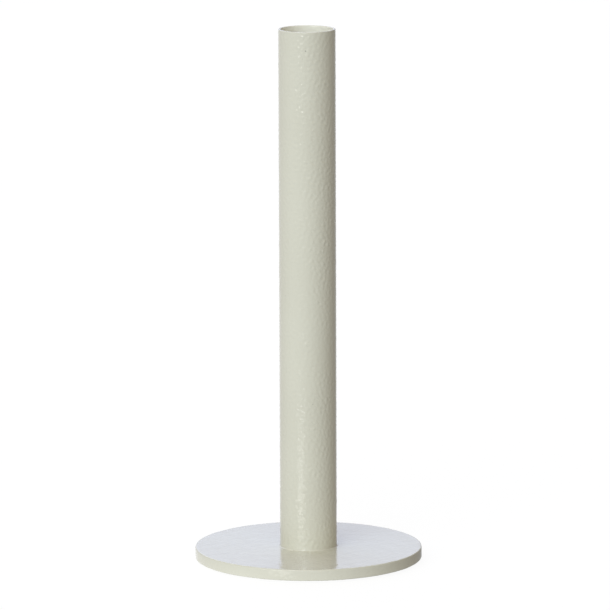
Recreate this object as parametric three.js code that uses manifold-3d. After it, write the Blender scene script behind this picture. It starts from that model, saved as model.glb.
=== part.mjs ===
// Candlestick for one taper (dinner) candle: a tall thin-walled round steel tube standing on a flat round steel disc.
// Millimetres, +Z up. Origin: on the table plane, on the tube's axis.
// The tube has a threaded plug pressed into its foot, and one countersunk screw from beneath pulls it down on the disc.
// A pressed cup inside the tube's mouth is the seat that the candle stands on.
import * as THREE from "three";
import { mergeVertices } from "three/addons/utils/BufferGeometryUtils.js";
import Module from "manifold-3d";

// ---- Driving dimensions ----
const SEG = 96; // sides of every turned part, so that nested parts keep an even gap

const PAD_D = 12; // self-adhesive felt pads
const PAD_T = 1.2;
const PAD_CIRCLE_R = 38; // pads sit on this circle, well under the disc's edge
const PAD_SEG = 32;

const PLATE_D = 100;
const PLATE_T = 5;
const PLATE_EDGE_R = 0.5; // deburred and coated edge
const PLATE_HOLE_D = 6.6; // clearance for M6
const SINK_D = 13.2; // 90 degree countersink, measured at the underside

const TUBE_OD = 25;
const TUBE_WALL = 1; // bore of 23, for a 22 candle
const TUBE_L = 230;
const TUBE_RIM_R = 0.25; // deburred rim

const SEAT_DEPTH = 25; // from the rim down to the seat
const SEAT_SHEET = 0.8;
const SEAT_SKIRT = 8;
const SEAT_CORNER = 0.8;
const SEAT_VENT_D = 4;
const FIT_GAP = 0.1; // radial, between the bore and what is pressed into it

const PLUG_T = 12;
const PLUG_CHAMFER = 0.8;
const PLUG_HOLE_D = 6.1; // plain bore standing for the M6 thread

const SCREW_D = 5.8; // plain shank standing for the M6 thread
const SCREW_L = 12; // overall, head included
const SCREW_HEAD_D = 12;
const SCREW_RECESS = 0.3; // head lies this far inside the underside
const SOCKET_AF = 4; // hex socket across its flats
const SOCKET_DEPTH = 2.2;

// ---- Levels ----
const Z_PLATE = PAD_T;
const Z_PLATE_TOP = Z_PLATE + PLATE_T;
const Z_RIM = Z_PLATE_TOP + TUBE_L;
const Z_SEAT = Z_RIM - SEAT_DEPTH;

const wasm = await Module();
wasm.setup();

// ---- Helpers ----
// A turned solid from a profile of [radius, height] pairs, counter-clockwise with the axis on the left.
function turned(profile, seg = SEG) {
  const g = new THREE.LatheGeometry(
    profile.map(([r, z]) => new THREE.Vector2(r, z)),
    seg,
  );
  g.rotateX(Math.PI / 2);
  return g;
}

// Points of a quarter round of radius r about (cr, cz), from angle a0 to a1 in degrees.
function round(cr, cz, r, a0, a1, n = 3) {
  const out = [];
  for (let i = 0; i <= n; i++) {
    const a = ((a0 + ((a1 - a0) * i) / n) * Math.PI) / 180;
    out.push([cr + r * Math.cos(a), cz + r * Math.sin(a)]);
  }
  return out;
}

function toSolid(geometry) {
  const g = geometry.clone();
  g.deleteAttribute("normal");
  g.deleteAttribute("uv");
  const m = mergeVertices(g, 1e-4);
  const idx = [];
  const a = m.index.array;
  for (let i = 0; i < a.length; i += 3)
    if (a[i] !== a[i + 1] && a[i + 1] !== a[i + 2] && a[i] !== a[i + 2])
      idx.push(a[i], a[i + 1], a[i + 2]);
  return new wasm.Manifold(
    new wasm.Mesh({
      numProp: 3,
      vertProperties: new Float32Array(m.attributes.position.array),
      triVerts: new Uint32Array(idx),
    }),
  );
}

function toGeometry(solid) {
  const m = solid.getMesh();
  const g = new THREE.BufferGeometry();
  g.setAttribute(
    "position",
    new THREE.BufferAttribute(new Float32Array(m.vertProperties), 3),
  );
  g.setIndex(new THREE.BufferAttribute(new Uint32Array(m.triVerts), 1));
  g.computeVertexNormals();
  return g;
}

function piece(name, geometry, colour, roughness, metalness) {
  const mesh = new THREE.Mesh(
    geometry,
    new THREE.MeshStandardMaterial({ color: colour, roughness, metalness }),
  );
  mesh.name = name;
  return mesh;
}

const COAT = 0xd0cfbf; // warm light grey powder coat
const STEEL = 0x9a9a98;
const ZINC = 0xb4b6b8;
const FELT = 0x8d8a82;

const candlestick = new THREE.Group();

// ---- Base disc ----
// Round plate with a soft edge top and bottom, a clearance hole on the axis and a countersink from beneath.
{
  const R = PLATE_D / 2;
  const e = PLATE_EDGE_R;
  const hr = PLATE_HOLE_D / 2;
  const sr = SINK_D / 2;
  const zb = Z_PLATE;
  const zt = Z_PLATE_TOP;
  const profile = [
    [sr, zb],
    ...round(R - e, zb + e, e, -90, 0),
    ...round(R - e, zt - e, e, 0, 90),
    [hr, zt],
    [hr, zb + (sr - hr)],
    [sr, zb],
  ];
  candlestick.add(piece("base_plate", turned(profile), COAT, 0.25, 0));
}

// ---- Stem tube ----
// Thin-walled tube, square at the foot, with a deburred rim.
{
  const ro = TUBE_OD / 2;
  const ri = ro - TUBE_WALL;
  const e = TUBE_RIM_R;
  const profile = [
    [ri, Z_PLATE_TOP],
    [ro, Z_PLATE_TOP],
    ...round(ro - e, Z_RIM - e, e, 0, 90, 2),
    ...round(ri + e, Z_RIM - e, e, 90, 180, 2),
    [ri, Z_PLATE_TOP],
  ];
  candlestick.add(piece("stem_tube", turned(profile), COAT, 0.25, 0));
}

// ---- Candle seat ----
// Pressed sheet cup, open downwards, with a vent hole; its flat top is what the candle stands on.
{
  const ro = TUBE_OD / 2 - TUBE_WALL - FIT_GAP;
  const ri = ro - SEAT_SHEET;
  const c = SEAT_CORNER;
  const vr = SEAT_VENT_D / 2;
  const zt = Z_SEAT;
  const zb = Z_SEAT - SEAT_SKIRT;
  const profile = [
    [ri, zb],
    [ro, zb],
    ...round(ro - c, zt - c, c, 0, 90),
    [vr, zt],
    [vr, zt - SEAT_SHEET],
    [ri, zt - SEAT_SHEET],
    [ri, zb],
  ];
  candlestick.add(piece("candle_seat", turned(profile), COAT, 0.3, 0));
}

// ---- Foot plug ----
// Turned disc pressed into the tube's foot, bored through on the axis for the screw.
{
  const ro = TUBE_OD / 2 - TUBE_WALL - FIT_GAP;
  const hr = PLUG_HOLE_D / 2;
  const c = PLUG_CHAMFER;
  const zb = Z_PLATE_TOP;
  const zt = Z_PLATE_TOP + PLUG_T;
  const profile = [
    [hr, zb],
    [ro, zb],
    [ro, zt - c],
    [ro - c, zt],
    [hr, zt],
    [hr, zb],
  ];
  candlestick.add(piece("foot_plug", turned(profile), STEEL, 0.4, 1));
}

// ---- Base screw ----
// Countersunk screw with a hex socket, put in from beneath.
{
  const zb = Z_PLATE + SCREW_RECESS;
  const hr = SCREW_HEAD_D / 2;
  const sr = SCREW_D / 2;
  const zt = zb + SCREW_L;
  const profile = [
    [0, zb],
    [hr, zb],
    [sr, zb + (hr - sr)],
    [sr, zt - 0.8],
    [sr - 0.8, zt],
    [0, zt],
  ];
  const body = toSolid(turned(profile, 48));
  const hex = new THREE.CylinderGeometry(
    SOCKET_AF / 2 / Math.cos(Math.PI / 6),
    SOCKET_AF / 2 / Math.cos(Math.PI / 6),
    SOCKET_DEPTH + 1,
    6,
  );
  hex.rotateX(Math.PI / 2);
  hex.translate(0, 0, zb - 1 + (SOCKET_DEPTH + 1) / 2);
  const screw = body.subtract(toSolid(hex));
  candlestick.add(piece("base_screw", toGeometry(screw), ZINC, 0.35, 1));
}

// ---- Felt pads ----
// Four discs under the plate, a quarter turn apart.
for (let i = 0; i < 4; i++) {
  const a = ((45 + 90 * i) * Math.PI) / 180;
  const pad = piece(
    "felt_pad_" + (i + 1),
    turned(
      [
        [0, 0],
        [PAD_D / 2, 0],
        [PAD_D / 2, PAD_T],
        [0, PAD_T],
      ],
      PAD_SEG,
    ),
    FELT,
    0.95,
    0,
  );
  pad.position.set(PAD_CIRCLE_R * Math.cos(a), PAD_CIRCLE_R * Math.sin(a), 0);
  candlestick.add(pad);
}

export default candlestick;
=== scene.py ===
"""Candlestick: a tall round steel tube on a flat steel disc, in one glossy light warm grey powder coat."""

import math

import bpy
import numpy as np
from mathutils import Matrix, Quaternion, Vector


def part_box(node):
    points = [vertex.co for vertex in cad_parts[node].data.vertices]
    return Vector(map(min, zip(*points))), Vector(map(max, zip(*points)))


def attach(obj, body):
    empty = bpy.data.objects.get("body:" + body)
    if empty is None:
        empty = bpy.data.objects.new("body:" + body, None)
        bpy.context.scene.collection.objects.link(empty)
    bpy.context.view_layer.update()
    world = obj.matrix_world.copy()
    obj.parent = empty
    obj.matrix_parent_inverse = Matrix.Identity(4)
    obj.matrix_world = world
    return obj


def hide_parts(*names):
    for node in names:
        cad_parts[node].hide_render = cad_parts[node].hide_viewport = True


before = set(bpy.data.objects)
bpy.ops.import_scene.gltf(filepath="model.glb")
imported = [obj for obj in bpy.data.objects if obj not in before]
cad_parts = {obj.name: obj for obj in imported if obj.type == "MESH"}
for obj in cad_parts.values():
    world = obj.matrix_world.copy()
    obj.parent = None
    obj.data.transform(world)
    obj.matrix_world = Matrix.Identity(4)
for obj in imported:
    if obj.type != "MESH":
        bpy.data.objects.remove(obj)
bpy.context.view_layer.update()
MM = 0.001

# ---------------------------------------------------------------- sizes, read from the frame
PLATE_LO, PLATE_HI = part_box("base_plate")
TUBE_LO, TUBE_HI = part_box("stem_tube")
SEAT_LO, SEAT_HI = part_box("candle_seat")
PLUG_LO, PLUG_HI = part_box("foot_plug")
SCREW_LO, SCREW_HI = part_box("base_screw")

PLATE_R = PLATE_HI.x
PLATE_Z0, PLATE_Z1 = PLATE_LO.z, PLATE_HI.z
TUBE_R = TUBE_HI.x
TUBE_WALL = 1.0 * MM
TUBE_Z0, TUBE_Z1 = TUBE_LO.z, TUBE_HI.z


# ---------------------------------------------------------------- surface relief
def relief_field(seed, low, high, count, slope):
    """A band-limited random height over space, in metres: many plane waves with wavelengths from low to high.
    slope is the root mean square gradient of the height."""
    rng = np.random.RandomState(seed)
    d = rng.normal(size=(count, 3))
    d /= np.linalg.norm(d, axis=1)[:, None]
    k = 2 * math.pi / (low + (high - low) * rng.rand(count))
    phase = rng.rand(count) * 2 * math.pi
    # each wave of slope s has amplitude s / k; two thirds of its gradient lies in the surface
    amp = (slope * math.sqrt(2.0 / count) / math.sqrt(2.0 / 3.0)) / k
    return d * k[:, None], phase, amp


def wrapped_field(seed, low, high, count, slope, radius):
    """The same on a turned wall of this radius: waves over (angle, height), a whole number of them round the axis."""
    rng = np.random.RandomState(seed)
    k = 2 * math.pi / (low + (high - low) * rng.rand(count))
    lean = 2 * math.pi * rng.rand(count)
    waves = np.stack([np.round(k * np.cos(lean) * radius), k * np.sin(lean), 0 * k], 1)
    phase = rng.rand(count) * 2 * math.pi
    return waves, phase, slope * math.sqrt(2.0 / count) / k


def relief(p, fields):
    """The summed height at points p, an array (..., 3)."""
    shape = p.shape[:-1]
    q = p.reshape(-1, 3)
    out = np.zeros(len(q))
    for waves, phase, amp in fields:
        for i in range(0, len(q), 20000):
            part = q[i : i + 20000] @ waves.T + phase
            out[i : i + 20000] += np.sin(part) @ amp
    return out.reshape(shape)


PEEL = [
    wrapped_field(11, 1.3 * MM, 2.7 * MM, 220, 0.092, TUBE_R),
    wrapped_field(12, 3.4 * MM, 6.5 * MM, 90, 0.008, TUBE_R),
]
PLATE_PEEL = [
    relief_field(21, 1.6 * MM, 2.8 * MM, 180, 0.020),
    relief_field(22, 4.5 * MM, 11.0 * MM, 90, 0.010),
]


# ---------------------------------------------------------------- mesh helpers
def arc(cr, cz, r, a0, a1, n):
    """Points of an arc in the (radius, height) plane, from angle a0 to a1 in degrees, n steps."""
    return [
        (
            cr + r * math.cos(math.radians(a0 + (a1 - a0) * i / n)),
            cz + r * math.sin(math.radians(a0 + (a1 - a0) * i / n)),
        )
        for i in range(n + 1)
    ]


def run(a, b, step):
    """Points from a to b, without b, about step apart."""
    n = max(1, int(round(math.dist(a, b) / step)))
    return [
        (a[0] + (b[0] - a[0]) * i / n, a[1] + (b[1] - a[1]) * i / n) for i in range(n)
    ]


def tidy(loop):
    """Removes points that repeat their neighbour."""
    out = []
    for p in loop:
        if not out or math.dist(p, out[-1]) > 1e-7:
            out.append(p)
    if math.dist(out[0], out[-1]) < 1e-7:
        out.pop()
    return np.array(out)


def turned(name, loop, seg, fields=(), mask=None, uv=None, wrap=False):
    """A turned body from a closed loop of (radius, height), counter-clockwise seen with the axis on the left.
    fields is the relief, mask(r, z) its share at each point of the loop, and wrap says that it runs over (angle, height).
    uv(i, j, r, z, s) lays out the texture."""
    loop = tidy(loop)
    n = len(loop)
    nxt, prv = np.roll(loop, -1, 0), np.roll(loop, 1, 0)
    e1, e0 = nxt - loop, loop - prv
    e1 = e1 / np.linalg.norm(e1, axis=1)[:, None]
    e0 = e0 / np.linalg.norm(e0, axis=1)[:, None]
    t = e0 + e1
    t /= np.linalg.norm(t, axis=1)[:, None]
    nor = np.stack([t[:, 1], -t[:, 0]], 1)
    ang = np.arange(seg) * 2 * math.pi / seg
    c, s = np.cos(ang), np.sin(ang)
    p = np.stack(
        [
            loop[:, 0][None] * c[:, None],
            loop[:, 0][None] * s[:, None],
            np.broadcast_to(loop[:, 1][None], (seg, n)),
        ],
        -1,
    )
    if fields:
        m = np.array([mask(r, z) for r, z in loop])
        on = m > 0
        h = np.zeros((seg, n))
        q = p[:, on]
        if wrap:
            q = np.stack([np.arctan2(q[..., 1], q[..., 0]), q[..., 2], 0 * q[..., 2]], -1)
        h[:, on] = relief(q, fields) * m[on]
        d = np.stack(
            [
                nor[:, 0][None] * c[:, None],
                nor[:, 0][None] * s[:, None],
                np.broadcast_to(nor[:, 1][None], (seg, n)),
            ],
            -1,
        )
        p = p + d * h[..., None]
    verts = p.reshape(-1, 3)
    j, i = np.meshgrid(np.arange(seg), np.arange(n), indexing="ij")
    j2, i2 = (j + 1) % seg, (i + 1) % n
    quads = np.stack([j * n + i, j2 * n + i, j2 * n + i2, j * n + i2], -1).reshape(
        -1, 4
    )
    mesh = bpy.data.meshes.new(name)
    mesh.vertices.add(len(verts))
    mesh.vertices.foreach_set("co", verts.astype(np.float32).ravel())
    mesh.loops.add(quads.size)
    mesh.loops.foreach_set("vertex_index", quads.astype(np.int32).ravel())
    mesh.polygons.add(len(quads))
    mesh.polygons.foreach_set(
        "loop_start", (np.arange(len(quads)) * 4).astype(np.int32)
    )
    mesh.polygons.foreach_set("use_smooth", np.ones(len(quads), bool))
    mesh.update(calc_edges=True)
    mesh.validate()
    if uv is not None:
        layer = mesh.uv_layers.new(name="OFBake")
        seglen = np.linalg.norm(nxt - loop, axis=1)
        dist = np.concatenate([[0], np.cumsum(seglen)])
        # corners of a quad: (j, i), (j+1, i), (j+1, i+1), (j, i+1), unwrapped past the seam
        jj = np.stack([j, j + 1, j + 1, j], -1).reshape(-1)
        ii = np.stack([i, i, i + 1, i + 1], -1).reshape(-1)
        qi = np.stack([i, i, i, i], -1).reshape(-1)
        qj = np.stack([j, j, j, j], -1).reshape(-1)
        layer.data.foreach_set(
            "uv", uv(jj, ii, qj, qi, loop, dist).astype(np.float32).ravel()
        )
    ob = bpy.data.objects.new(name, mesh)
    bpy.context.scene.collection.objects.link(ob)
    return ob


def keep(ob, node, material):
    """Puts a finished piece on the body in place of its CAD node."""
    ob.data.materials.clear()
    ob.data.materials.append(material)
    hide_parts(node)
    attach(ob, "root")
    return ob


# ---------------------------------------------------------------- node helpers
class Nodes:
    """A short way to write a node tree."""

    def __init__(self, tree):
        self.t = tree
        tree.nodes.clear()
        self.x = 0

    def add(self, kind, inputs=None, **props):
        n = self.t.nodes.new(kind)
        n.location = (self.x, 0)
        self.x += 180
        for k, v in props.items():
            setattr(n, k, v)
        for k, v in (inputs or {}).items():
            self.put(n.inputs[k], v)
        return n

    def put(self, socket, value):
        if isinstance(value, bpy.types.NodeSocket):
            self.t.links.new(value, socket)
        else:
            socket.default_value = value

    def math(self, op, a, b=None, c=None, clamp=False):
        n = self.add("ShaderNodeMath", operation=op, use_clamp=clamp)
        self.put(n.inputs[0], a)
        if b is not None:
            self.put(n.inputs[1], b)
        if c is not None:
            self.put(n.inputs[2], c)
        return n.outputs[0]

    def spread(self, value, a, b, c=0.0, d=1.0, smooth=True):
        n = self.add(
            "ShaderNodeMapRange",
            {"Value": value, "From Min": a, "From Max": b, "To Min": c, "To Max": d},
            interpolation_type="SMOOTHSTEP" if smooth else "LINEAR",
        )
        return n.outputs[0]

    def noise(self, vec, scale, detail=2.0, rough=0.5, distort=0.0):
        n = self.add(
            "ShaderNodeTexNoise",
            {
                "Vector": vec,
                "Scale": scale,
                "Detail": detail,
                "Roughness": rough,
                "Distortion": distort,
            },
        )
        return n.outputs["Fac"]

    def mix(self, fac, a, b, blend="MIX"):
        n = self.add("ShaderNodeMix", data_type="RGBA", blend_type=blend)
        self.put(n.inputs[0], fac)
        self.put(n.inputs[6], a)
        self.put(n.inputs[7], b)
        return n.outputs[2]


def new_material(name):
    m = bpy.data.materials.new(name)
    m.use_nodes = True
    return m, Nodes(m.node_tree)


def rgb(r, g, b):
    return (r, g, b, 1.0)


# ---------------------------------------------------------------- materials
# Tiny inclusions under the coat, and in the last two painted shade in the crease at either side of the foot: place in
# millimetres on the surface, radius in millimetres, depth of tone.
SPECKS_AND_CREASE_SHADE = [
    ((-0.6, -12.5, 228.0), 0.48, 0.85),
    ((-2.0, -12.4, 224.5), 0.30, 0.45),
    ((-9.6, -8.0, 119.7), 0.30, 0.40),
    ((2.0, -12.3, 72.0), 0.32, 0.60),
    ((-24.5, -12.0, 6.2), 0.30, 0.35),
    ((31.0, -2.0, 6.2), 0.30, 0.45),
    ((11.2, 5.5, 160.0), 0.34, 0.50),
    ((-5.0, 11.4, 96.0), 0.30, 0.45),
    # painted shade: dark in the crease where the tube's foot meets the disc, at its left and right sides
    ((-12.8, -0.9, 6.5), 0.45, 0.80),
    ((12.8, -0.9, 6.5), 0.45, 0.80),
]


def powder_coat(name, specks_and_crease_shade=True, inside=False):
    m, n = new_material(name)
    co = n.add("ShaderNodeTexCoord").outputs["Object"]
    broad = n.noise(co, 22.0, 2.0, 0.5)
    fine = n.noise(co, 900.0, 2.0, 0.5)
    base = n.mix(
        n.spread(broad, 0.3, 0.7),
        rgb(0.622, 0.612, 0.526),
        rgb(0.640, 0.632, 0.546),
    )
    base = n.mix(
        n.spread(fine, 0.35, 0.75, 0.0, 0.10), base, rgb(0.560, 0.552, 0.470)
    )
    if specks_and_crease_shade:
        total = None
        for place, radius, depth in SPECKS_AND_CREASE_SHADE:
            d = n.add(
                "ShaderNodeVectorMath", {0: co, 1: Vector(place) * MM}, operation="DISTANCE"
            ).outputs["Value"]
            s = n.spread(d, 0.0, radius * MM, depth, 0.0)
            total = s if total is None else n.math("MAXIMUM", total, s)
        # sparse pin specks all over: few cells of a cell pattern hold one
        cell = n.add("ShaderNodeTexVoronoi", {"Vector": co, "Scale": 110.0}, feature="F1")
        pick = n.add(
            "ShaderNodeTexWhiteNoise",
            {"Vector": cell.outputs["Position"]},
            noise_dimensions="3D",
        ).outputs["Value"]
        dot = n.math(
            "MULTIPLY",
            n.spread(cell.outputs["Distance"], 0.012, 0.030, 0.40, 0.0),
            n.math("GREATER_THAN", pick, 0.90),
        )
        total = n.math("MAXIMUM", total, dot)
        # dark tone of the specks, and of the painted crease shade at the foot
        base = n.mix(total, base, rgb(0.20, 0.19, 0.17))
    if inside:
        # painted light: inside the tube the colour is made paler, standing in for light that reaches the hollow; it
        # covers the part of the body within the tube's hollow, above the seat
        xyz = n.add("ShaderNodeSeparateXYZ", {0: co})
        r2 = n.math(
            "ADD",
            n.math("MULTIPLY", xyz.outputs[0], xyz.outputs[0]),
            n.math("MULTIPLY", xyz.outputs[1], xyz.outputs[1]),
        )
        r = n.math("SQRT", r2)
        bore_light_mask = n.spread(r, TUBE_R - TUBE_WALL + 0.05 * MM, TUBE_R - TUBE_WALL + 0.45 * MM, 1.0, 0.0)
        bore_light_mask = n.math("MULTIPLY", bore_light_mask, n.math("GREATER_THAN", xyz.outputs[2], SEAT_LO.z))
        # painted light: the paler colour of the tube's hollow and of the seat
        painted_bore_light = n.mix(n.spread(broad, 0.3, 0.7), rgb(0.800, 0.790, 0.705), rgb(0.815, 0.805, 0.720))
        base = n.mix(bore_light_mask, base, painted_bore_light)
    rough = n.spread(n.noise(co, 160.0, 3.0, 0.6), 0.3, 0.7, 0.085, 0.135)
    peel = n.noise(co, 900.0, 0.6, 0.4)
    micro = n.noise(co, 1500.0, 1.0, 0.5)
    bump1 = n.add(
        "ShaderNodeBump", {"Strength": 1.0, "Distance": 0.00008, "Height": peel}
    )
    bump2 = n.add(
        "ShaderNodeBump",
        {
            "Strength": 1.0,
            "Distance": 0.000012,
            "Height": micro,
            "Normal": bump1.outputs[0],
        },
    )
    p = n.add(
        "ShaderNodeBsdfPrincipled",
        {
            "Base Color": base,
            "Roughness": rough,
            "Normal": bump2.outputs[0],
            "IOR": 1.5,
        },
    )
    out = n.add("ShaderNodeOutputMaterial")
    n.t.links.new(p.outputs[0], out.inputs[0])
    return m


def steel(name, tint, low, high, rings):
    """Bare or plated steel: rings is the pitch of the turning marks in metres, 0 for none."""
    m, n = new_material(name)
    co = n.add("ShaderNodeTexCoord").outputs["Object"]
    cloud = n.noise(co, 90.0, 3.0, 0.6)
    grain = n.noise(co, 1800.0, 2.0, 0.6)
    base = n.mix(
        n.spread(cloud, 0.3, 0.7), rgb(*[c * 0.9 for c in tint]), rgb(*tint)
    )
    rough = n.spread(n.math("ADD", cloud, n.math("MULTIPLY", grain, 0.5)), 0.4, 1.1, low, high)
    height = grain
    if rings:
        xyz = n.add("ShaderNodeSeparateXYZ", {0: co})
        r = n.math(
            "SQRT",
            n.math(
                "ADD",
                n.math("MULTIPLY", xyz.outputs[0], xyz.outputs[0]),
                n.math("MULTIPLY", xyz.outputs[1], xyz.outputs[1]),
            ),
        )
        wave = n.math(
            "SINE", n.math("MULTIPLY", n.math("ADD", r, n.math("MULTIPLY", xyz.outputs[2], 0.7)), 2 * math.pi / rings)
        )
        height = n.math("ADD", n.math("MULTIPLY", wave, 0.5), grain)
    bump = n.add(
        "ShaderNodeBump", {"Strength": 1.0, "Distance": 0.000004, "Height": height}
    )
    p = n.add(
        "ShaderNodeBsdfPrincipled",
        {
            "Base Color": base,
            "Metallic": 1.0,
            "Roughness": rough,
            "Normal": bump.outputs[0],
        },
    )
    out = n.add("ShaderNodeOutputMaterial")
    n.t.links.new(p.outputs[0], out.inputs[0])
    return m


def felt_material(name):
    m, n = new_material(name)
    co = n.add("ShaderNodeTexCoord").outputs["Object"]
    wild = n.noise(co, 500.0, 4.0, 0.7, 1.5)
    fibre = n.noise(co, 2200.0, 4.0, 0.75, 2.5)
    base = n.mix(
        n.spread(fibre, 0.3, 0.7), rgb(0.20, 0.195, 0.18), rgb(0.34, 0.33, 0.31)
    )
    base = n.mix(n.spread(wild, 0.5, 0.8, 0.0, 0.45), base, rgb(0.45, 0.44, 0.42))
    bump = n.add(
        "ShaderNodeBump",
        {
            "Strength": 1.0,
            "Distance": 0.00012,
            "Height": n.math("ADD", fibre, n.math("MULTIPLY", wild, 0.8)),
        },
    )
    p = n.add(
        "ShaderNodeBsdfPrincipled",
        {
            "Base Color": base,
            "Roughness": n.spread(fibre, 0.3, 0.7, 0.88, 1.0),
            "Normal": bump.outputs[0],
            "Sheen Weight": 0.35,
            "Sheen Roughness": 0.5,
        },
    )
    out = n.add("ShaderNodeOutputMaterial")
    n.t.links.new(p.outputs[0], out.inputs[0])
    return m


COAT = powder_coat("powder_coat")
# the tube's coat and the seat's coat carry the painted light of the hollow (inside=True)
COAT_TUBE = powder_coat("powder_coat_tube", inside=True)
COAT_PLAIN = powder_coat("powder_coat_inside", specks_and_crease_shade=False, inside=True)
PLAIN = steel("turned_steel", (0.60, 0.59, 0.57), 0.28, 0.45, 0.00035)
ZINC = steel("zinc_plate", (0.74, 0.76, 0.78), 0.22, 0.38, 0)
FELT = felt_material("needled_felt")

# ---------------------------------------------------------------- stem tube
RO, RI = TUBE_R, TUBE_R - TUBE_WALL
RIM = 0.34 * MM  # rounding of the coated rim
FILLET = 0.42 * MM  # coat that has run into the corner at the foot
STEP = 0.47 * MM
CUP_DEEP = TUBE_Z1 - SEAT_HI.z

tube_loop = (
    [(RI, TUBE_Z0), (RO + FILLET, TUBE_Z0)]
    + arc(RO + FILLET, TUBE_Z0 + FILLET, FILLET, 270, 180, 6)
    + run((RO, TUBE_Z0 + FILLET), (RO, TUBE_Z1 - RIM), STEP)
    + arc(RO - RIM, TUBE_Z1 - RIM, RIM, 0, 90, 5)
    + arc(RI + RIM, TUBE_Z1 - RIM, RIM, 90, 180, 5)
    + run((RI, TUBE_Z1 - RIM), (RI, SEAT_HI.z - 3 * MM), 0.8 * MM)
    + run((RI, SEAT_HI.z - 3 * MM), (RI, TUBE_Z0), 12 * MM)
)


def tube_mask(r, z):
    if r > RO + 1e-6 or z < TUBE_Z0 + FILLET:
        return 0.0
    if r > RO - 1e-6:
        return min(1.0, (z - TUBE_Z0 - FILLET) / (1.0 * MM)) * min(
            1.0, 0.35 + (TUBE_Z1 - z) / (2 * MM)
        )
    if r > RI + 1e-6:
        return 0.35
    return 0.7 if z > SEAT_HI.z else 0.0


def tube_uv(jj, ii, qj, qi, loop, dist):
    """The whole loop unrolled upwards, in two strips: the outside, and the inside."""
    scale = 1 / (246 * MM)
    inner = np.array([k for k in range(len(loop)) if loop[k, 0] < RI + RIM * 0.6 and k > len(loop) // 3])
    first = inner.min()
    x = jj / TUBE_SEG * 2 * math.pi * RO * scale
    v = dist[ii] * scale
    inside = qi >= first
    u = np.where(inside, 0.40 + x * (RI / RO), 0.015 + x)
    v = np.where(inside, (dist[ii] - dist[first]) * scale + 0.015, v + 0.015)
    return np.stack([u, v], -1)


TUBE_SEG = 176
tube = turned("candle_tube", tube_loop, TUBE_SEG, PEEL, tube_mask, tube_uv, wrap=True)
keep(tube, "stem_tube", COAT_TUBE)

# ---------------------------------------------------------------- base disc
EDGE = 0.55 * MM
HOLE_R = 3.3 * MM
SINK_R = 6.6 * MM
plate_loop = (
    run((SINK_R, PLATE_Z0), (PLATE_R - EDGE, PLATE_Z0), 1.5 * MM)
    + arc(PLATE_R - EDGE, PLATE_Z0 + EDGE, EDGE, -90, 0, 6)
    + run((PLATE_R, PLATE_Z0 + EDGE), (PLATE_R, PLATE_Z1 - EDGE), 0.5 * MM)
    + arc(PLATE_R - EDGE, PLATE_Z1 - EDGE, EDGE, 0, 90, 6)
    + run((PLATE_R - EDGE, PLATE_Z1), (12.2 * MM, PLATE_Z1), 0.55 * MM)
    + run((12.2 * MM, PLATE_Z1), (HOLE_R, PLATE_Z1), 3 * MM)
    + run((HOLE_R, PLATE_Z1), (HOLE_R, PLATE_Z0 + SINK_R - HOLE_R), 1 * MM)
    + run((HOLE_R, PLATE_Z0 + SINK_R - HOLE_R), (SINK_R, PLATE_Z0), 1 * MM)
)


def plate_mask(r, z):
    if r < 13.2 * MM:
        return 0.0
    if z < PLATE_Z0 + 1e-6:
        return 0.0
    ramp = min(1.0, (r - 13.2 * MM) / (1.5 * MM))
    if r > PLATE_R - EDGE * 0.98:
        return 1.7 * ramp
    return ramp


def plate_uv(jj, ii, qj, qi, loop, dist):
    """Top and underside laid flat side by side, and the edge in four strips above them."""
    scale = 1 / (212 * MM)
    ang = jj / PLATE_SEG * 2 * math.pi
    i = ii % len(loop)
    r, z = loop[i, 0], loop[i, 1]
    qr = loop[qi % len(loop), 0]
    nxt = loop[(qi + 1) % len(loop), 0]
    k0 = int(np.argmax(loop[:, 0] > PLATE_R - EDGE * 0.5))
    k1 = len(loop) - 1 - int(np.argmax((loop[:, 0] > PLATE_R - EDGE * 0.5)[::-1]))
    side = (qi >= k0) & (qi < k1)
    under = qi < k0
    core = (qi > k1) & (np.minimum(qr, nxt) < 12.2 * MM - 1e-7)
    top = ~(side | under | core)
    u = np.zeros(len(jj))
    v = np.zeros(len(jj))
    u[top] = 0.25 + r[top] * np.cos(ang[top]) * scale
    v[top] = 0.25 + r[top] * np.sin(ang[top]) * scale
    u[under] = 0.75 - r[under] * np.cos(ang[under]) * scale
    v[under] = 0.25 + r[under] * np.sin(ang[under]) * scale
    part = qj * 4 // PLATE_SEG
    u[side] = (
        0.02
        + (jj[side] / PLATE_SEG - part[side] / 4) * 2 * math.pi * PLATE_R * scale
    )
    v[side] = 0.53 + part[side] * 0.045 + (dist[ii[side]] - dist[k0]) * scale
    k2 = int(qi[core].min()) if core.any() else 0
    u[core] = 0.55 + (0.02 + dist[ii[core]] - dist[k2]) * scale * 0 + 0.1 + (
        0.006 + (dist[ii[core]] - dist[k2]) * 0.55
    ) * np.cos(ang[core]) * scale * 1.0
    v[core] = 0.72 + (0.006 + (dist[ii[core]] - dist[k2]) * 0.55) * np.sin(ang[core]) * scale
    return np.stack([u, v], -1)


PLATE_SEG = 512
plate = turned("base_disc", plate_loop, PLATE_SEG, PLATE_PEEL, plate_mask, plate_uv)
keep(plate, "base_plate", COAT)

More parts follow.
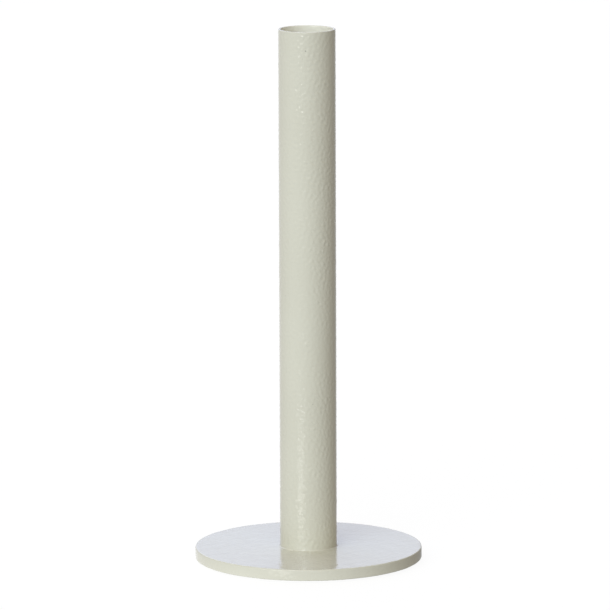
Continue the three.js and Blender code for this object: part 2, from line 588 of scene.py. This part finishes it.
# ---------------------------------------------------------------- candle seat
SR = SEAT_HI.x
SI = SR - 0.8 * MM
ST, SB = SEAT_HI.z, SEAT_LO.z
VENT = 2.0 * MM
seat_loop = (
    arc((SR + SI) / 2, SB + 0.4 * MM, 0.4 * MM, 180, 360, 6)
    + run((SR, SB + 0.4 * MM), (SR, ST - 1.2 * MM), 0.8 * MM)
    + arc(SR - 1.2 * MM, ST - 1.2 * MM, 1.2 * MM, 0, 90, 6)
    + run((SR - 1.2 * MM, ST), (VENT + 0.3 * MM, ST), 0.6 * MM)
    + arc(VENT + 0.3 * MM, ST - 0.3 * MM, 0.3 * MM, 90, 180, 4)
    + arc(VENT + 0.2 * MM, ST - 0.6 * MM, 0.2 * MM, 180, 270, 3)
    + run((VENT + 0.2 * MM, ST - 0.8 * MM), (SI - 0.4 * MM, ST - 0.8 * MM), 1.5 * MM)
    + arc(SI - 0.4 * MM, ST - 1.2 * MM, 0.4 * MM, 90, 0, 4)
    + run((SI, ST - 1.2 * MM), (SI, SB + 0.4 * MM), 1.5 * MM)
)
seat = turned(
    "candle_seat_cup",
    seat_loop,
    112,
    PLATE_PEEL,
    lambda r, z: 0.8 if z > ST - 1e-6 and VENT + 1 * MM < r < SR - 1.3 * MM else 0.0,
)
keep(seat, "candle_seat", COAT_PLAIN)

# ---------------------------------------------------------------- foot plug
PR = PLUG_HI.x
PT, PB = PLUG_HI.z, PLUG_LO.z
PH = 3.05 * MM
plug_loop = (
    run((PH + 0.4 * MM, PB), (PR - 0.2 * MM, PB), 1 * MM)
    + arc(PR - 0.2 * MM, PB + 0.2 * MM, 0.2 * MM, -90, 0, 3)
    + run((PR, PB + 0.2 * MM), (PR, PT - 0.8 * MM), 1 * MM)
    + run((PR, PT - 0.8 * MM), (PR - 0.8 * MM, PT), 0.4 * MM)
    + run((PR - 0.8 * MM, PT), (PH + 0.4 * MM, PT), 0.6 * MM)
    + run((PH + 0.4 * MM, PT), (PH, PT - 0.4 * MM), 0.4 * MM)
    + run((PH, PT - 0.4 * MM), (PH, PB + 0.4 * MM), 1 * MM)
    + run((PH, PB + 0.4 * MM), (PH + 0.4 * MM, PB), 0.4 * MM)
)
plug = turned("threaded_foot_plug", plug_loop, 128)
keep(plug, "foot_plug", PLAIN)

# ---------------------------------------------------------------- base screw
# Countersunk head with a hex socket, and a rolled thread, swept row by row round the axis.
ZB, ZT = SCREW_LO.z, SCREW_HI.z
HEAD_R, SHANK_R, ROOT_R = 6.0 * MM, 2.92 * MM, 2.45 * MM
PITCH = 1.0 * MM
SOCKET = 4.0 * MM / 2 / math.cos(math.pi / 6)
SOCKET_Z = ZB + 2.2 * MM
SCREW_SEG = 96


def hex_r(a, flat):
    """Radius of a hexagon of half width flat in direction a."""
    b = (a % (math.pi / 3)) - math.pi / 6
    return flat / math.cos(b)


rows = []


def row(fn):
    rows.append([fn(2 * math.pi * k / SCREW_SEG) for k in range(SCREW_SEG)])


flat = 2.0 * MM
for depth, share in ((SOCKET_Z + 0.35 * MM, 0.02), (SOCKET_Z, 0.93)):
    row(lambda a, d=depth, s=share: (hex_r(a, flat) * s, d))
row(lambda a: (hex_r(a, flat), SOCKET_Z - 0.08 * MM))
row(lambda a: (hex_r(a, flat), ZB + 1.2 * MM))
row(lambda a: (hex_r(a, flat), ZB + 0.3 * MM))
row(lambda a: (hex_r(a, flat) * 0.5 + 0.5 * 2.45 * MM, ZB + 0.04 * MM))
row(lambda a: (2.75 * MM, ZB))
row(lambda a: (4.2 * MM, ZB))
row(lambda a: (HEAD_R - 0.12 * MM, ZB))
row(lambda a: (HEAD_R, ZB + 0.1 * MM))
row(lambda a: (HEAD_R, ZB + 0.28 * MM))
cone_end = ZB + HEAD_R - SHANK_R
row(lambda a: (SHANK_R + 0.15 * MM, cone_end - 0.05 * MM))
row(lambda a: (SHANK_R, cone_end + 0.15 * MM))
z = cone_end + 0.35 * MM
while z < ZT - 0.35 * MM:

    def thread(a, z=z):
        t = ((z / PITCH) - a / (2 * math.pi)) % 1.0
        tri = abs(2 * t - 1)
        depth = min(1.0, max(0.0, (tri - 0.12) / 0.72))
        fade = min(1.0, (z - cone_end - 0.3 * MM) / (0.9 * MM)) * min(
            1.0, (ZT - 0.1 * MM - z) / (0.7 * MM)
        )
        end = min(1.0, (ZT - z) / (0.9 * MM))
        return (
            (SHANK_R - (SHANK_R - ROOT_R) * depth * fade)
            - (1 - end) * 0.5 * MM,
            z,
        )

    row(thread)
    z += 0.1 * MM
row(lambda a: (SHANK_R - 0.75 * MM, ZT - 0.1 * MM))
row(lambda a: (SHANK_R - 1.0 * MM, ZT))
row(lambda a: (0.06 * MM, ZT))
grid = np.array(rows)
angles = 2 * math.pi * np.arange(SCREW_SEG) / SCREW_SEG
pts = np.stack(
    [grid[..., 0] * np.cos(angles), grid[..., 0] * np.sin(angles), grid[..., 1]], -1
)
nr = len(rows)
verts = pts.reshape(-1, 3).tolist()
faces = []
for i in range(nr - 1):
    for j in range(SCREW_SEG):
        j2 = (j + 1) % SCREW_SEG
        faces.append(
            (
                i * SCREW_SEG + j,
                i * SCREW_SEG + j2,
                (i + 1) * SCREW_SEG + j2,
                (i + 1) * SCREW_SEG + j,
            )
        )
verts.append((0, 0, SOCKET_Z + 0.36 * MM))
verts.append((0, 0, ZT))
c0, c1 = len(verts) - 2, len(verts) - 1
for j in range(SCREW_SEG):
    j2 = (j + 1) % SCREW_SEG
    faces.append((c0, j2, j))
    faces.append((c1, (nr - 1) * SCREW_SEG + j, (nr - 1) * SCREW_SEG + j2))
mesh = bpy.data.meshes.new("countersunk_screw")
mesh.from_pydata(verts, [], faces)
mesh.validate()
mesh.update()
mesh.polygons.foreach_set("use_smooth", np.ones(len(mesh.polygons), bool))
mesh.set_sharp_from_angle(angle=math.radians(35))
screw = bpy.data.objects.new("countersunk_screw", mesh)
bpy.context.scene.collection.objects.link(screw)
keep(screw, "base_screw", ZINC)

# ---------------------------------------------------------------- felt pads
FUZZ = [
    relief_field(41, 0.35 * MM, 0.9 * MM, 120, 0.16),
    relief_field(42, 1.5 * MM, 4.0 * MM, 60, 0.03),
]


def felt_pad(name, node, seed):
    lo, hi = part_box(node)
    cx, cy = (lo.x + hi.x) / 2, (lo.y + hi.y) / 2
    rad, top, r = (hi.x - lo.x) / 2, hi.z - lo.z, 0.28 * MM
    prof = (
        [(0.0, 0.0)]
        + [(x, 0.0) for x in np.arange(0.35 * MM, rad - r - 0.1 * MM, 0.35 * MM)]
        + arc(rad - r, r, r, -90, 0, 5)
        + run((rad, r), (rad, top - 0.12 * MM), 0.2 * MM)[1:]
        + arc(rad - 0.12 * MM, top - 0.12 * MM, 0.12 * MM, 0, 90, 3)
        + [(rad * 0.6, top), (rad * 0.25, top), (0.0, top)]
    )
    prof = [p for k, p in enumerate(prof) if k == 0 or math.dist(p, prof[k - 1]) > 1e-7]
    seg = 112
    ang = 2 * math.pi * np.arange(seg) / seg
    inner = np.array(prof[1:-1])
    p = np.stack(
        [
            inner[:, 0][None] * np.cos(ang)[:, None],
            inner[:, 0][None] * np.sin(ang)[:, None],
            np.broadcast_to(inner[:, 1][None], (seg, len(inner))),
        ],
        -1,
    )
    h = relief(p + np.array([seed * 0.05, 0, 0]), FUZZ)
    low, wall = inner[:, 1] < r * 0.9, inner[:, 0] > rad - r * 0.6
    rise = np.where(low, 1.0, 0.0)
    p[..., 2] += np.abs(h) * rise[None]  # the underside is worn flat where it touches
    out = np.where(wall, 1.0, 0.0)[None] * h
    p[..., 0] += np.cos(ang)[:, None] * (out - 0.03 * MM * wall[None])
    p[..., 1] += np.sin(ang)[:, None] * (out - 0.03 * MM * wall[None])
    m = len(inner)
    verts = p.reshape(-1, 3).tolist() + [(0, 0, 0), (0, 0, top)]
    b, t = len(verts) - 2, len(verts) - 1
    faces = []
    for j in range(seg):
        j2 = (j + 1) % seg
        faces.append((b, j2 * m, j * m))
        faces.append((t, j * m + m - 1, j2 * m + m - 1))
        for i in range(m - 1):
            faces.append((j * m + i, j2 * m + i, j2 * m + i + 1, j * m + i + 1))
    mesh = bpy.data.meshes.new(name)
    mesh.from_pydata(
        [(x + cx, y + cy, z + lo.z) for x, y, z in verts], [], faces
    )
    mesh.validate()
    mesh.update()
    mesh.polygons.foreach_set("use_smooth", np.ones(len(mesh.polygons), bool))
    ob = bpy.data.objects.new(name, mesh)
    bpy.context.scene.collection.objects.link(ob)
    keep(ob, node, FELT)
    return ob


for k in range(4):
    felt_pad(f"felt_disc_{k + 1}", f"felt_pad_{k + 1}", k)

# ---------------------------------------------------------------- camera
cam_data = bpy.data.cameras.new("camera")
cam_data.lens = 347.13
cam_data.sensor_width = 36.0
cam_data.clip_start, cam_data.clip_end = 0.05, 40.0
cam = bpy.data.objects.new("camera", cam_data)
bpy.context.scene.collection.objects.link(cam)
cam.location = (-1.20 * MM, -2.54163, 0.56632)
PITCH_DOWN, ROLL = math.radians(10.0896), math.radians(0.19)
look = Vector((0, math.cos(PITCH_DOWN), -math.sin(PITCH_DOWN)))
turn = look.to_track_quat("-Z", "Y")
cam.rotation_mode = "QUATERNION"
cam.rotation_quaternion = turn @ Quaternion((0, 0, 1), -ROLL)
bpy.context.scene.camera = cam

# ---------------------------------------------------------------- floor and light of the studio
# A pale round studio in a few plain lights, each a soft lobe that fades evenly from its middle:
# azimuth in degrees from the camera side, left negative; elevation; how narrow it is; radiance.
DOME = (0.36, 0.25, 0.10)
KEY = (-20.5, 26.0, 12.0, (4.5, 5.1, 5.6))  # large soft light in front, a little left
BACKDROP = (188.0, 37.0, 5.6, (1.33, 1.66, 2.40))  # cool backdrop
FLAG = (118.0, 15.5, 5.7, 1.0)  # dark flag on the right: how much it takes away
FLOOR = (1.21, 1.22, 1.22)
FLOOR_BACK = (180.0, 8.0, (1.3, 1.3, 1.35))  # the backdrop's light on the floor behind
FLOOR_SHADE = (86.0, 0.30, 0.78)  # the flag's shade on the floor
FLOOR_NEAR = (0.53, 0.018)  # light handed back by the object, over this many metres from its edge


def facing(az, el=0.0):
    az, el = math.radians(az), math.radians(el)
    return (math.sin(az) * math.cos(el), -math.cos(az) * math.cos(el), math.sin(el))


def lobe(n, direction, az, el, narrow):
    """1 along az, el, and less the further a direction turns away from it."""
    dot = n.add(
        "ShaderNodeVectorMath", {0: direction, 1: facing(az, el)}, operation="DOT_PRODUCT"
    ).outputs["Value"]
    return n.math("EXPONENT", n.math("MULTIPLY_ADD", dot, narrow, -narrow))


def add_light(n, total, share, colour):
    """total + share * colour"""
    m = n.add("ShaderNodeVectorMath", {0: share, 1: colour, 2: total}, operation="MULTIPLY_ADD")
    return m.outputs["Vector"]


def dim(n, total, share):
    m = n.add("ShaderNodeVectorMath", {0: total, "Scale": share}, operation="SCALE")
    return m.outputs["Vector"]


world = bpy.data.worlds.new("studio")
bpy.context.scene.world = world
world.use_nodes = True
n = Nodes(world.node_tree)
gen = n.add("ShaderNodeTexCoord").outputs["Generated"]
xyz = n.add("ShaderNodeSeparateXYZ", {0: gen})
sky = DOME
for az_, el_, narrow_, colour_ in (KEY, BACKDROP):
    sky = add_light(n, sky, lobe(n, gen, az_, el_, narrow_), colour_)
taken = n.math("MULTIPLY_ADD", lobe(n, gen, *FLAG[:3]), -FLAG[3], 1.0)
# nothing below the horizon, where the floor is, so that light samples aren't lost under it
above = n.math("GREATER_THAN", xyz.outputs[2], -0.005)
sky = dim(n, sky, n.math("MULTIPLY", taken, above))
bg = n.add("ShaderNodeBackground", {"Color": sky, "Strength": 1.0})
plain = n.add("ShaderNodeBackground", {"Color": rgb(1, 1, 1), "Strength": 1.0})
eye = n.add("ShaderNodeLightPath").outputs["Is Camera Ray"]
both = n.add("ShaderNodeMixShader", {0: eye, 1: bg.outputs[0], 2: plain.outputs[0]})
wo = n.add("ShaderNodeOutputWorld")
n.t.links.new(both.outputs[0], wo.inputs[0])

floor_mesh = bpy.data.meshes.new("floor")
floor_mesh.from_pydata(
    [(-14, -14, 0), (14, -14, 0), (14, 14, 0), (-14, 14, 0)], [], [(0, 1, 2, 3)]
)
floor = bpy.data.objects.new("floor", floor_mesh)
bpy.context.scene.collection.objects.link(floor)
fm, n = new_material("floor_paper")
geo = n.add("ShaderNodeNewGeometry").outputs["Position"]
out_ = n.add("ShaderNodeVectorMath", {0: geo}, operation="NORMALIZE").outputs["Vector"]
far = n.add("ShaderNodeVectorMath", {0: geo}, operation="LENGTH").outputs["Value"]
lit = add_light(n, FLOOR, lobe(n, out_, FLOOR_BACK[0], 0.0, FLOOR_BACK[1]), FLOOR_BACK[2])
shade = n.math("MULTIPLY_ADD", lobe(n, out_, FLOOR_SHADE[0], 0.0, FLOOR_SHADE[1]), -FLOOR_SHADE[2], 1.0)
near = n.math("EXPONENT", n.math("MULTIPLY", n.math("SUBTRACT", far, PLATE_R), -1 / FLOOR_NEAR[1]))
shade = n.math("MULTIPLY", shade, n.math("MULTIPLY_ADD", near, FLOOR_NEAR[0], 1.0))
lit = dim(n, lit, shade)
# a painted reflection of the softbox, as a satin floor would mirror it, which only mirror reflections see: azimuth
# and distance
xyz = n.add("ShaderNodeSeparateXYZ", {0: out_})
turn_az = n.math("ARCTAN2", xyz.outputs[0], n.math("MULTIPLY", xyz.outputs[1], -1.0))
turn_az = n.math("MULTIPLY", turn_az, 180 / math.pi)


def window(n, v, lo, hi, soft):
    """1 between lo and hi, 0 outside, over an edge of width 2 * soft."""
    return n.math("MULTIPLY", n.spread(v, lo - soft, lo + soft), n.spread(v, hi - soft, hi + soft, 1.0, 0.0))


# away from the object: what the tube shows
body = window(n, turn_az, -43.0, -16.5, 1.0)
reach = 0.0
for lo_, hi_, soft_, strong_ in ((0.103, 0.119, 0.003, 5.6), (0.152, 0.174, 0.004, 4.2), (0.222, 0.264, 0.006, 4.4)):
    reach = n.math("MULTIPLY_ADD", window(n, far, lo_, hi_, soft_), strong_, reach)
softbox_reflection = n.math("MULTIPLY", body, reach)
# close by: what the disc's edge shows
close = n.math("MULTIPLY", window(n, turn_az, -26.4, -10.6, 0.7), window(n, far, 0.066, 0.079, 0.003))
close = n.math("MULTIPLY", close, 1.9)
softbox_reflection = n.math("ADD", softbox_reflection, close)
softbox_reflection = n.math("MULTIPLY", softbox_reflection, n.add("ShaderNodeLightPath").outputs["Is Glossy Ray"])
lit = add_light(n, lit, softbox_reflection, (1.0, 0.99, 0.97))
table = n.add("ShaderNodeEmission", {"Color": lit, "Strength": 1.0})
paper = n.add("ShaderNodeBsdfDiffuse", {"Color": rgb(0.10, 0.10, 0.10)})
glow = n.add("ShaderNodeEmission", {"Color": rgb(1, 1, 1), "Strength": 0.92})
seen = n.add("ShaderNodeAddShader", {0: paper.outputs[0], 1: glow.outputs[0]})
eye = n.add("ShaderNodeLightPath").outputs["Is Camera Ray"]
both = n.add("ShaderNodeMixShader", {0: eye, 1: table.outputs[0], 2: seen.outputs[0]})
fo = n.add("ShaderNodeOutputMaterial")
n.t.links.new(both.outputs[0], fo.inputs[0])
fm.cycles.emission_sampling = "NONE"
floor_mesh.materials.append(fm)


# the softbox in front on the left, upright and facing the object; its broad light is already in the
# key, so only mirror reflections see it
def panel(name, az_deg, dist, z0, z1, half, strength):
    a = math.radians(az_deg)
    out = Vector((math.sin(a), -math.cos(a), 0))
    side = Vector((math.cos(a), math.sin(a), 0))
    c = out * dist
    corners = [
        c - side * half + Vector((0, 0, z0)),
        c + side * half + Vector((0, 0, z0)),
        c + side * half + Vector((0, 0, z1)),
        c - side * half + Vector((0, 0, z1)),
    ]
    me = bpy.data.meshes.new(name)
    me.from_pydata([tuple(v) for v in corners], [], [(0, 1, 2, 3)])
    ob = bpy.data.objects.new(name, me)
    bpy.context.scene.collection.objects.link(ob)
    m, n = new_material(name + "_cloth")
    glow = n.add("ShaderNodeEmission", {"Color": rgb(1.0, 0.99, 0.97), "Strength": strength})
    out_node = n.add("ShaderNodeOutputMaterial")
    n.t.links.new(glow.outputs[0], out_node.inputs[0])
    m.cycles.emission_sampling = "NONE"
    me.materials.append(m)
    ob.visible_camera = False
    ob.visible_diffuse = False
    ob.visible_shadow = False
    return ob


panel("softbox", -29.5, 1.5, 0.28, 0.38, 0.36, 6.5)

view = bpy.context.scene.view_settings
view.view_transform = "Standard"
view.look = "None"
view.exposure, view.gamma = 0.0, 1.0
bpy.context.scene.cycles.use_denoising = True
